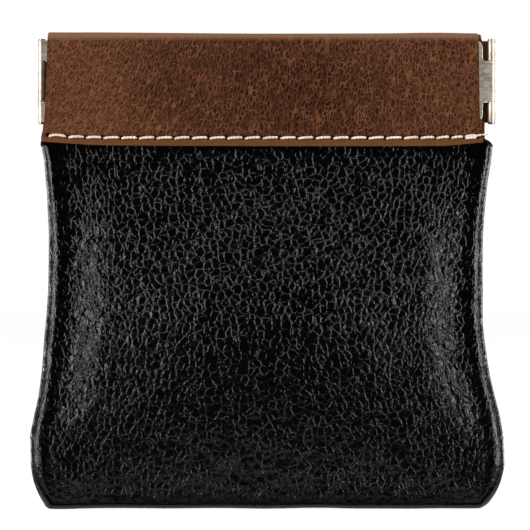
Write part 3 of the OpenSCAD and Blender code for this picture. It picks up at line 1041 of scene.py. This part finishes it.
@dataclass
class Stitching:
    """The cream lockstitches of one band, on its outer and its inner face, each of two twisted plies."""

    face: Face
    finish: bpy.types.Material
    row: StitchRow
    skirt_face: float = 3.12
    mouth_face: float = 0.27
    ply: float = 0.155
    ply_offset: float = 0.62
    end_taper: float = 0.22
    twist: float = 1.25
    hole_half: float = 0.3
    rise: float = 0.24
    dip: float = 0.55
    tilt: float = 0.16
    tilt_spread: float = 0.06
    loose_size: float = 0.62
    rings: int = 30
    sides: int = 8

    def path(self, a: float, b: float, tilt: float) -> tuple[Points, Points, Points]:
        """The middle of one stitch: out of one hole, along the leather and into the next.

        Args:
            a: Place of the first hole.
            b: Place of the second.
            tilt: How much higher the second end lies.

        Returns:
            Places across, heights over the leather and heights over the row.
        """
        t = np.linspace(0.0, 1.0, self.rings)
        from_middle = np.abs(2 * t - 1.0)
        x = a + self.hole_half + (b - a - 2 * self.hole_half) * t
        over = self.rise * (1.0 - from_middle**6) - self.dip * from_middle**12
        arch = 0.08 + 0.14 * bump_at(x, -40.0, 7.0)
        return x, over, tilt * (t - 0.5) + arch * (0.5 - from_middle**2)

    def loose_ends(self) -> list[Points]:
        """The two plies of the thread's loose end, which stick out past the last stitch.

        Returns:
            Each ply's middle line, with as many points as a stitch.
        """
        near = ((38.35, 2.75, 68.75), (39.0, 3.15, 68.9), (39.8, 3.0, 69.1))
        end = np.array([*near, (40.4, 2.4, 69.1), (40.8, 1.9, 69.35)])
        steps = np.arange(len(end), dtype=float)
        at = np.linspace(0.0, steps[-1], self.rings)
        return [
            np.column_stack([SmoothLine(*zip(steps, places[:, k]))(at) for k in range(3)])
            for places in (end, end * 0.6 + end[:1] * 0.4 + np.array([0.0, 0.15, 0.12]))
        ]

    def build(self) -> bpy.types.Object:
        """Makes all stitches of the row as one piece.

        Returns:
            The stitches.
        """
        points, faces = [], []
        holes = self.row.holes()
        rng = np.random.default_rng(5)
        for outer in (True, False):
            for k in range(self.row.count):
                tilt = self.tilt + self.tilt_spread * rng.uniform(-1, 1)
                x, over, rise = self.path(holes[k], holes[k + 1], tilt)
                out = self.skirt_face + over if outer else self.mouth_face - over * 0.6
                sewn_twice = outer and k == self.row.count - 1
                for shift in (-0.17, 0.2) if sewn_twice else (0.0,):
                    centre = np.column_stack([x, out, self.row.level(x) + rise + shift])
                    self.twist_plies(points, faces, centre, rng.uniform(0, 6.28))
        for end in self.loose_ends() if self.face is Face.FRONT else ():
            self.twist_plies(points, faces, end, rng.uniform(0, 6.28), self.loose_size)
        placed = np.concatenate(points) * (1.0, self.face.value, 1.0)
        name = f"{self.face.word}_band_stitches"
        return make_piece(name, placed, faces, self.finish, self.face is Face.REAR)

    def twist_plies(self, points: list, faces: list, centre: Points, start: float, size: float = 1.0) -> None:
        """Adds two plies wound round a centre line.

        Args:
            points: Arrays of points so far.
            faces: Faces so far.
            centre: The centre line.
            start: Angle of the first ply at the line's start.
            size: How thick the plies are, as a share of a stitch's.
        """
        tangent = np.gradient(centre, axis=0)
        tangent /= np.linalg.norm(tangent, axis=1)[:, None]
        side = np.cross(tangent, np.array([0.0, 0.0, 1.0]))
        side /= np.linalg.norm(side, axis=1)[:, None]
        up = np.cross(side, tangent)
        thick = size * self.ply * (1.0 - self.end_taper * np.abs(np.linspace(-1, 1, len(centre))) ** 8)
        ring = 2 * math.pi * np.arange(self.sides) / self.sides
        disc = np.cos(ring)[:, None] * side[:, None] + np.sin(ring)[:, None] * up[:, None]
        for ply in (0.0, math.pi):
            angle = (start + ply + 2 * math.pi * run_lengths(centre) / self.twist)[:, None]
            line = centre + self.ply_offset * size * self.ply * (np.cos(angle) * side + np.sin(angle) * up)
            grid = sum(len(p) for p in points) + np.arange(len(centre) * self.sides).reshape(-1, self.sides)
            points.append((line[:, None] + thick[:, None, None] * disc).reshape(-1, 3))
            faces += quads(np.concatenate([grid, grid[:, :1]], axis=1))
            faces += [tuple(grid[0, ::-1].tolist()), tuple(grid[-1].tolist())]


@dataclass
class SpringStrip:
    """A spring strip whose ends are notched and curled round the hinge pins."""

    face: Face
    finish: bpy.types.Material
    steel: float = 0.38
    low: float = 71.5
    high: float = 86.7
    out: float = 1.30
    notch: float = 40.0
    pin: float = 41.7
    curl_radius: float = 0.61
    curl_turn: float = 300.0
    knuckle: float = 7.5
    gap: float = 0.05
    fillet: float = 0.6
    corner: float = 1.5
    bevel: float = 0.06
    flat_half: float = 39.0
    flat_step: float = 1.5
    curl_step: float = 0.1

    def centre_line(self) -> tuple[Points, Points]:
        """The strip's middle line seen from above, from the purse's middle to the end of the curl.

        Returns:
            Lengths along the strip, and the places across and outward distances there.
        """
        run = np.linspace(0.0, self.pin, 160)
        turn = np.radians(np.linspace(90.0, 90.0 - self.curl_turn, 60))[1:]
        straight = np.column_stack([run, self.out - (self.out - self.curl_radius) * pinch_share(run)])
        curl = np.column_stack([self.pin + self.curl_radius * np.cos(turn), self.curl_radius * np.sin(turn)])
        line = np.concatenate([straight, curl])
        length = run_lengths(line)
        fine = np.linspace(0.0, length[-1], 900)
        return fine, np.column_stack([np.interp(fine, length, line[:, k]) for k in (0, 1)])

    def half_outline(self, end: KnuckleEnd, reach: float) -> list[tuple[float, float]]:
        """The flat strip's edge on one half, from its lower middle round its end to its upper middle.

        Args:
            end: How this end is cut.
            reach: Length of the half strip, up to the curl's end.

        Returns:
            Lengths along the strip and heights.
        """
        mid = (self.low + self.high) / 2
        top, knuckle = self.high - mid, self.knuckle / 2
        n, f, c = self.notch, self.fillet, self.corner

        def arc(cx: float, cz: float, radius: float, start: float, stop: float) -> list[tuple[float, float]]:
            """Points of an arc, by angle in degrees."""
            turns = np.radians(np.linspace(start, stop, 8))
            return [(cx + radius * math.cos(t), cz + radius * math.sin(t)) for t in turns]

        if end is KnuckleEnd.MIDDLE:
            upper = [(reach, knuckle)] + arc(n + f, knuckle + f, f, -90, -180) + arc(n - c, top - c, c, 0, 90)
        else:
            inner = knuckle + self.gap
            upper = [(n, 0.0)] + arc(n + f, inner - f, f, 180, 90) + [(reach, inner), (reach, top)]
        lower = [(x, -z) for x, z in reversed(upper)]
        outline = lower + (upper if end is KnuckleEnd.MIDDLE else upper[1:])
        return [(x, z + mid) for x, z in outline]

    def build(self) -> bpy.types.Object:
        """Makes the strip flat with eased edges, then bends its ends round the pins.

        Returns:
            The strip.
        """
        length, line = self.centre_line()
        reach = length[-1]

        def on_line(s: float) -> Points:
            """The place across and outward distance at a length along the strip."""
            return np.array([np.interp(s, length, line[:, k]) for k in (0, 1)])

        ends = (KnuckleEnd.MIDDLE, KnuckleEnd.PAIR)
        right_end, left_end = ends if self.face is Face.FRONT else ends[::-1]
        outline = self.half_outline(right_end, reach)
        outline += [(-x, z) for x, z in reversed(self.half_outline(left_end, reach))]
        bm = bmesh.new()
        flat = bm.faces.new([bm.verts.new((x, -self.steel / 2, z)) for x, z in outline])
        made = bmesh.ops.extrude_face_region(bm, geom=[flat])
        top = [v for v in made["geom"] if isinstance(v, bmesh.types.BMVert)]
        bmesh.ops.translate(bm, verts=top, vec=(0, self.steel, 0))
        bmesh.ops.recalc_face_normals(bm, faces=bm.faces)
        rims = [e for e in bm.edges if abs(e.verts[0].co.y - e.verts[1].co.y) < 1e-6]
        bmesh.ops.bevel(bm, geom=rims, offset=self.bevel, segments=2, affect="EDGES", profile=0.5)
        stops = list(np.arange(-self.flat_half, self.flat_half + 0.1, self.flat_step))
        stops += [s * d for s in (-1, 1) for d in np.arange(self.notch, reach, self.curl_step)]
        for stop in stops:
            geom = list(bm.verts) + list(bm.edges) + list(bm.faces)
            bmesh.ops.bisect_plane(bm, geom=geom, plane_co=(stop, 0, 0), plane_no=(1, 0, 0), dist=1e-5)
        inside = []
        for vert in bm.verts:
            x, off, z = vert.co
            inside.append(float(off < 0))
            s = abs(x)
            at_x, at_o = on_line(s)
            way = on_line(s + 0.03) - on_line(s - 0.03)
            tx, to = way / max(np.linalg.norm(way), 1e-9) if s >= 0.1 else (1.0, 0.0)
            side = 1.0 if x >= 0 else -1.0
            vert.co = (side * (at_x - off * to), self.face.value * (at_o + off * tx), z)
        bmesh.ops.triangulate(bm, faces=[f for f in bm.faces if len(f.verts) > 4])
        bmesh.ops.recalc_face_normals(bm, faces=bm.faces)
        bm.verts.index_update()
        points = np.array([v.co[:] for v in bm.verts])
        faces = [tuple(v.index for v in f.verts) for f in bm.faces]
        bm.free()
        piece = make_piece(f"{self.face.word}_spring_strip", points, faces, self.finish)
        write_attribute(piece, "inside", np.array(inside))
        piece.data.set_sharp_from_angle(angle=math.radians(20))
        return piece


def follow_strip(piece: bpy.types.Object, face: Face) -> None:
    """Bends a piece of the mouth with its spring strip, evenly from end to end.

    Args:
        piece: The piece.
        face: Which strip it lies on.
    """
    reach = MouthMotion().bend_half * MM
    height = MouthMotion().strip_middle * MM
    word = face.word
    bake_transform(piece, f"{word}_left", f"{word}_right", start=(-reach, 0, height), end=(reach, 0, height))


@dataclass
class Studio:
    """The pale floor, the soft lamps round it and the camera in front."""

    frame_width: float = 97.5
    lens: float = 135.0
    sensor: float = 36.0
    purse_front: float = 3.0
    camera_side: float = -0.31
    camera_height: float = 45.1
    aim_height: float = 44.0
    lamp_distance: float = 620.0
    opening: float = 0.015
    wall: float = 0.3
    # The painted floor glow's level away from the purse's foot.
    floor_shine: float = 0.03
    floor_half: float = 1500.0
    floor_level: float = 1.14
    floor_glow: float = 0.8
    ambient: float = 0.45

    def sight(self, graph: Graph, camera_share: float) -> tuple[Socket, Node]:
        """Adds how far a ray sees a backdrop's own brightness in place of its lit paint.

        Args:
            graph: The tree to add it to.
            camera_share: The share for the camera's rays. Rays from gloss and glass get all of it.

        Returns:
            Whether the ray is the camera's, and the share.
        """
        path = graph.add("LightPath", {}).outputs
        mirror = graph.add("Math", (path["Is Glossy Ray"], path["Is Transmission Ray"]), operation="MAXIMUM")
        plain = graph.add("Math", (path["Is Camera Ray"], camera_share), operation="MULTIPLY")
        return path["Is Camera Ray"], graph.add("Math", (mirror, plain), operation="MAXIMUM")

    def tent(self, graph: Graph, way: Socket, camera_ray: Socket) -> Node:
        """Adds the tent's brightness: white to the camera and at the sides, dim towards its two openings.

        Args:
            graph: The tree to add it to.
            way: Direction from the purse.
            camera_ray: Whether the ray is the camera's.

        Returns:
            The node that gives the brightness, where 1 is white.
        """
        ahead = graph.add("SeparateXYZ", (way,)).outputs["Y"]
        walls = []
        for start, end in ((-0.6, -0.9), (0.1, 0.6)):
            fall = (ahead, start, end, self.wall, self.opening)
            walls.append(graph.add("MapRange", fall, interpolation_type="SMOOTHSTEP"))
        dim = graph.add("Math", walls, operation="MINIMUM")
        return graph.add("Math", (dim, camera_ray), operation="MAXIMUM")

    def table_sheen(self, graph: Graph) -> Node:
        """Adds a painted glow on the floor that only reflections see: a painted reflection of the lamps'
        sheen far off to the sides, and painted light at the purse's foot and in a band in front of it.

        Args:
            graph: The tree to add it to.

        Returns:
            The node that gives the brightness, where 1 is white.
        """
        place = graph.add("TexCoord", {}).outputs["Object"]
        split = graph.add("SeparateXYZ", (place,)).outputs
        far = graph.add("VectorMath", (place,), operation="LENGTH")
        across = graph.add("Math", (split["X"], far), operation="DIVIDE")
        aside = graph.add("Math", (across,), operation="ABSOLUTE")
        near = graph.add("Math", (split["Y"],), operation="ABSOLUTE")
        inner, outer, reach, foot, front, back = [
            graph.add("MapRange", settings, interpolation_type="SMOOTHSTEP")
            for settings in (
                (aside, 0.6, 0.73, 0.0, 1.0),
                (aside, 0.93, 0.99, 1.0, 0.0),
                (far, 65 * MM, 125 * MM, 0.0, 3.7),
                (near, 2.6 * MM, 3.6 * MM, 0.6, self.floor_shine),
                (near, 10.0 * MM, 14.0 * MM, 0.0, 0.55),
                (near, 18.0 * MM, 26.0 * MM, 1.0, 0.0),
            )
        ]
        fan = graph.add("Math", (inner, outer), operation="MULTIPLY")
        sheen = graph.add("Math", (fan, reach, foot), operation="MULTIPLY_ADD")
        return graph.add("Math", (front, back, sheen), operation="MULTIPLY_ADD")

    def floor(self) -> None:
        """Makes the floor of matt white paper, white to the camera and keeping the purse's soft shadow, with
        a painted glow that reflections see.
        """
        corners = ((-1, -1), (1, -1), (1, 1), (-1, 1))
        points = np.array([(a * self.floor_half, b * self.floor_half, -0.02) for a, b in corners])
        material, graph, shader = new_material("pale_paper_floor")
        graph.tree.nodes.remove(shader)
        camera_ray, share = self.sight(graph, self.floor_glow)
        # The camera sees plain white here, and reflections see the painted floor glow.
        bright = graph.add("Mix", {0: camera_ray, 2: self.table_sheen(graph), 3: 1.0}, data_type="FLOAT")
        level = graph.add("Math", (bright, self.floor_level), operation="MULTIPLY")
        paint = graph.add("BsdfDiffuse", {"Color": linear("#e6e6e6")})
        glow = graph.add("Emission", {"Color": linear("#ffffff"), "Strength": level})
        mixed = graph.add("MixShader", (share, paint, glow))
        graph.wire(graph.tree.nodes["Material Output"], {"Surface": mixed})
        make_piece("floor", points, [(0, 1, 2, 3)], material)

    def world(self) -> None:
        """Makes the white surroundings: a tent with pale sides and a dimmer opening in front and behind."""
        world = bpy.data.worlds.new("light_tent")
        world.use_nodes = True
        bpy.context.scene.world = world
        graph = Graph(world.node_tree)
        graph.tree.nodes.clear()
        camera_ray, share = self.sight(graph, 1.0)
        way = graph.add("TexCoord", {}).outputs["Generated"]
        white = linear("#ffffff")
        ambient = graph.add("Background", {"Color": white, "Strength": self.ambient})
        backdrop = graph.add("Background", {"Color": white, "Strength": self.tent(graph, way, camera_ray)})
        both = graph.add("MixShader", (share, ambient, backdrop))
        graph.add("OutputWorld", {"Surface": both})

    def lamp(
        self, name: str, azimuth: float, elevation: float, width: float, height: float, level: float
    ) -> None:
        """Adds a soft area lamp that points at the purse.

        Args:
            name: The lamp's name.
            azimuth: Its direction in degrees, 0 in front and 90 on the right.
            elevation: Its height in degrees.
            width: Width of its diffuser.
            height: Height of its diffuser.
            level: Its radiance, where 1 is as bright as the white background.
        """
        data = bpy.data.lights.new(name, "AREA")
        data.shape = "RECTANGLE"
        data.size, data.size_y = width * MM, height * MM
        data.energy = level * width * height * MM * MM * math.pi
        lamp = bpy.data.objects.new(name, data)
        bpy.context.scene.collection.objects.link(lamp)
        a, e = math.radians(azimuth), math.radians(elevation)
        way = Vector((math.sin(a) * math.cos(e), -math.cos(a) * math.cos(e), math.sin(e)))
        lamp.location = Vector((0.0, 0.0, self.aim_height * MM)) + way * self.lamp_distance * MM
        lamp.rotation_euler = (-way).to_track_quat("-Z", "Y").to_euler()

    def camera(self) -> None:
        """Places the camera level in front of the purse, as the photograph was taken."""
        data = bpy.data.cameras.new("camera")
        data.lens, data.sensor_width, data.clip_start = self.lens, self.sensor, 0.01
        camera = bpy.data.objects.new("camera", data)
        bpy.context.scene.collection.objects.link(camera)
        distance = self.frame_width * self.lens / self.sensor + self.purse_front
        camera.location = (self.camera_side * MM, -distance * MM, self.camera_height * MM)
        camera.rotation_euler = (math.pi / 2, 0.0, 0.0)
        bpy.context.scene.camera = camera

    def build(self) -> None:
        """Makes the floor, the surroundings, the lamps and the camera."""
        self.floor()
        self.world()
        self.lamp("left_softbox", -50.0, 12.0, 170.0, 520.0, 6.3)
        self.lamp("right_softbox", 50.0, 12.0, 170.0, 520.0, 6.3)
        self.lamp("top_softbox", 0.0, 62.0, 420.0, 220.0, 3.0)
        self.lamp("left_back_softbox", -132.0, 20.0, 260.0, 420.0, 3.2)
        self.lamp("right_back_softbox", 132.0, 20.0, 260.0, 420.0, 3.2)
        self.camera()
        bpy.context.scene.view_settings.view_transform = "Standard"


def dress_node(name: str, finish: bpy.types.Material) -> None:
    """Gives a carried-over CAD node its finish.

    Args:
        name: The node's name.
        finish: Its material.
    """
    node = bpy.data.objects[name]
    for slot in node.material_slots:
        slot.material = finish
    if not node.material_slots:
        node.data.materials.append(finish)


def main() -> None:
    """Builds the purse's pieces in order and reports each."""
    logging.basicConfig(level=logging.INFO, format="%(name)s: %(message)s")
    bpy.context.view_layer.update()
    Studio().build()
    black = PebbledCowhide().material()
    brown = OiledBrownLeather().material()
    cream = SpunThread("cream_spun_thread", "#fbeadb", "#dcbfa9").material()
    dark = SpunThread("dark_spun_thread", "#2a2829", "#141314").material()
    steel = NickelPlatedSteel("nickel_plated_strip").material()
    bright = NickelPlatedSteel("nickel_plated_pin", colour="#d6d1c6", roughness=0.2).material()
    # The mesh takes the pebbles' broad form. Their narrow creases are finer than its grid, so the finish
    # adds them.
    broad = PebbleGrain(crease=0.28, crease_depth=0.024, wrinkle_depth=0.015, lumps=0.02, crush=0.16)
    row = StitchRow()
    for seed, face in enumerate(Face, start=1):
        word = face.word
        panel = LeatherPanel(face, black, seed)
        hide = panel.build()
        panel.emboss(hide, broad)
        panel.follow(hide)
        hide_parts(f"{word}_panel")
        band = MouthBand(face, brown, row, 20 + seed).build()
        follow_strip(band, face)
        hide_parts(f"{word}_band")
        stitches = Stitching(face, cream, row).build()
        follow_strip(stitches, face)
        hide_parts(f"{word}_stitching")
        strip = SpringStrip(face, steel).build()
        follow_strip(strip, face)
        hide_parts(f"{word}_strip_left", f"{word}_strip_right")
        for piece in (hide, band, stitches, strip):
            log.info("%s: %d points", piece.name, len(piece.data.vertices))
    for node, finish in (("seam_thread", dark), ("left_pin", bright), ("right_pin", bright)):
        dress_node(node, finish)
        log.info("%s: %s", node, finish.name)


if __name__ == "__main__":
    main()
